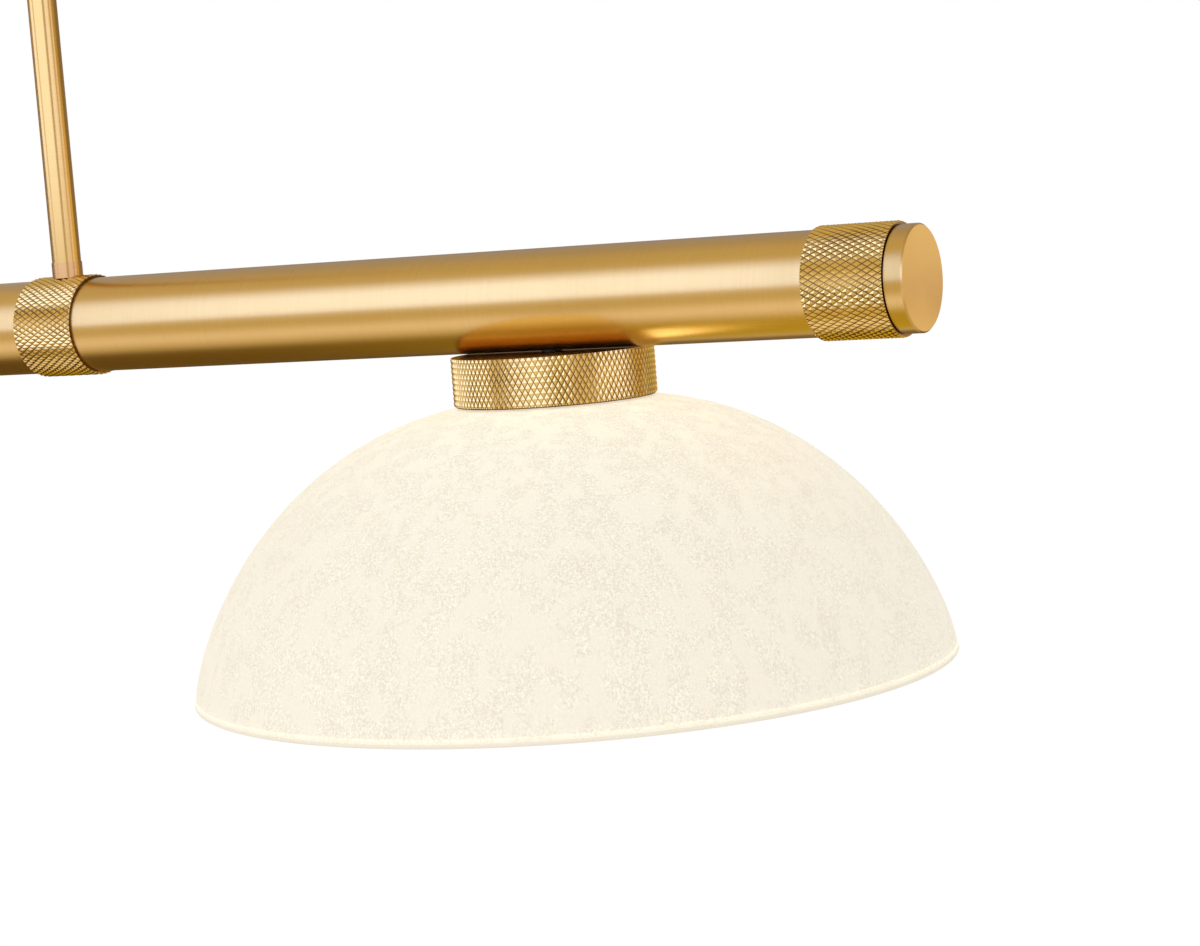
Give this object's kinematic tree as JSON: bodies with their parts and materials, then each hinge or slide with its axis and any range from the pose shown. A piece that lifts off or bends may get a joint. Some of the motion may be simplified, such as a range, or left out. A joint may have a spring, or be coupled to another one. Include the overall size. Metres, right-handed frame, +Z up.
{
  "type": "billiard light",
  "caption": "Linear hanging light: a knurled brass bar on downrods from a ceiling canopy carries glass dome shades, each over a screw bulb.",
  "frame": {"origin": "middle of the ceiling bracket's top face, in the ceiling plane", "axes": "+Z up into the ceiling, +X along the bar towards the end seen in the picture, -Y towards the viewer"},
  "size_m": [1.632, 0.3748, 0.8782],
  "materials": {
    "canopy_brass": "satin brushed and lacquered sheet",
    "satin_brass": "fine circumferential brushing under lacquer, deep gold",
    "rod_brass": "satin brushed, a paler gold",
    "knurled_brass": "diamond knurled, bright crests and dark grooves",
    "zinc_steel": "zinc plated",
    "cable_sheath": "smooth sheath",
    "terminal_plastic": "moulded",
    "lampholder_ceramic": "white glaze",
    "contact_brass": "bright pressed sheet",
    "gasket": "soft silicone",
    "shade_glass": "cream mottled alabaster-like glass, satin outside, lit from within",
    "bulb_glass": "frosted white, lit",
    "bulb_cap": "rolled thread"
  },
  "bodies": {
    "root": {"canopy": "canopy_brass", "ceiling_bracket": "zinc_steel", "canopy_studs": "zinc_steel", "canopy_nuts": "rod_brass", "load_plates": "zinc_steel", "swivel_cup_left": "rod_brass", "swivel_cup_right": "rod_brass", "swivel_locknuts": "zinc_steel", "supply_leads": "cable_sheath", "terminal_block": "terminal_plastic"},
    "pendant": {"bar": "satin_brass", "end_button_left": "satin_brass", "end_button_right": "satin_brass", "rod_upper_left": "rod_brass", "rod_upper_right": "rod_brass", "rod_lower_left": "rod_brass", "rod_lower_right": "rod_brass", "rod_ferrule_left": "rod_brass", "rod_ferrule_right": "rod_brass", "swivel_ball_left": "rod_brass", "swivel_ball_right": "rod_brass", "shade_ring_left": "rod_brass", "shade_ring_middle": "rod_brass", "shade_ring_right": "rod_brass", "collar_left": "knurled_brass", "collar_right": "knurled_brass", "end_ring_left": "knurled_brass", "end_ring_right": "knurled_brass", "neck_left": "knurled_brass", "neck_middle": "knurled_brass", "neck_right": "knurled_brass", "rod_couplers": "zinc_steel", "rod_foot_nipples": "zinc_steel", "bar_bosses": "zinc_steel", "end_plug_left": "zinc_steel", "end_plug_right": "zinc_steel", "neck_nipples": "zinc_steel", "neck_nuts": "zinc_steel", "harness": "cable_sheath", "socket_left": "lampholder_ceramic", "socket_middle": "lampholder_ceramic", "socket_right": "lampholder_ceramic", "socket_contacts": "contact_brass", "socket_shell_left": "contact_brass", "socket_shell_middle": "contact_brass", "socket_shell_right": "contact_brass", "shade_gaskets": "gasket", "shade_left": "shade_glass", "shade_middle": "shade_glass", "shade_right": "shade_glass"},
    "bulb_contact_left": {"bulb_tip_left": "bulb_cap"},
    "bulb_left": {"bulb_cap_left": "bulb_cap", "bulb_glass_left": "bulb_glass"},
    "bulb_contact_middle": {"bulb_tip_middle": "bulb_cap"},
    "bulb_middle": {"bulb_cap_middle": "bulb_cap", "bulb_glass_middle": "bulb_glass"},
    "bulb_contact_right": {"bulb_tip_right": "bulb_cap"},
    "bulb_right": {"bulb_cap_right": "bulb_cap", "bulb_glass_right": "bulb_glass"}
  },
  "joints": [
    {"name": "swing", "type": "hinge", "parent": "root", "child": "pendant", "pos_m": [0, 0, -0.038], "axis": [1, 0, 0], "range_deg": [-20, 20]},
    {"name": "bulb_lift_left", "type": "slide", "parent": "pendant", "child": "bulb_contact_left", "axis": [0, 0, -1], "range_m": [0, 0.0164]},
    {"name": "bulb_turn_left", "type": "hinge", "parent": "bulb_contact_left", "child": "bulb_left", "pos_m": [-0.62, 0, -0.7494], "axis": [0, 0, -1], "range_deg": [0, 1620]},
    {"name": "bulb_lift_middle", "type": "slide", "parent": "pendant", "child": "bulb_contact_middle", "axis": [0, 0, -1], "range_m": [0, 0.0164]},
    {"name": "bulb_turn_middle", "type": "hinge", "parent": "bulb_contact_middle", "child": "bulb_middle", "pos_m": [0, 0, -0.7494], "axis": [0, 0, -1], "range_deg": [0, 1620]},
    {"name": "bulb_lift_right", "type": "slide", "parent": "pendant", "child": "bulb_contact_right", "axis": [0, 0, -1], "range_m": [0, 0.0164]},
    {"name": "bulb_turn_right", "type": "hinge", "parent": "bulb_contact_right", "child": "bulb_right", "pos_m": [0.62, 0, -0.7494], "axis": [0, 0, -1], "range_deg": [0, 1620]}
  ],
  "couplings": [
    {"joint": "bulb_lift_left", "follows": "bulb_turn_left", "m_per_rad": 0.00057757},
    {"joint": "bulb_lift_middle", "follows": "bulb_turn_middle", "m_per_rad": 0.00057757},
    {"joint": "bulb_lift_right", "follows": "bulb_turn_right", "m_per_rad": 0.00057757}
  ]
}
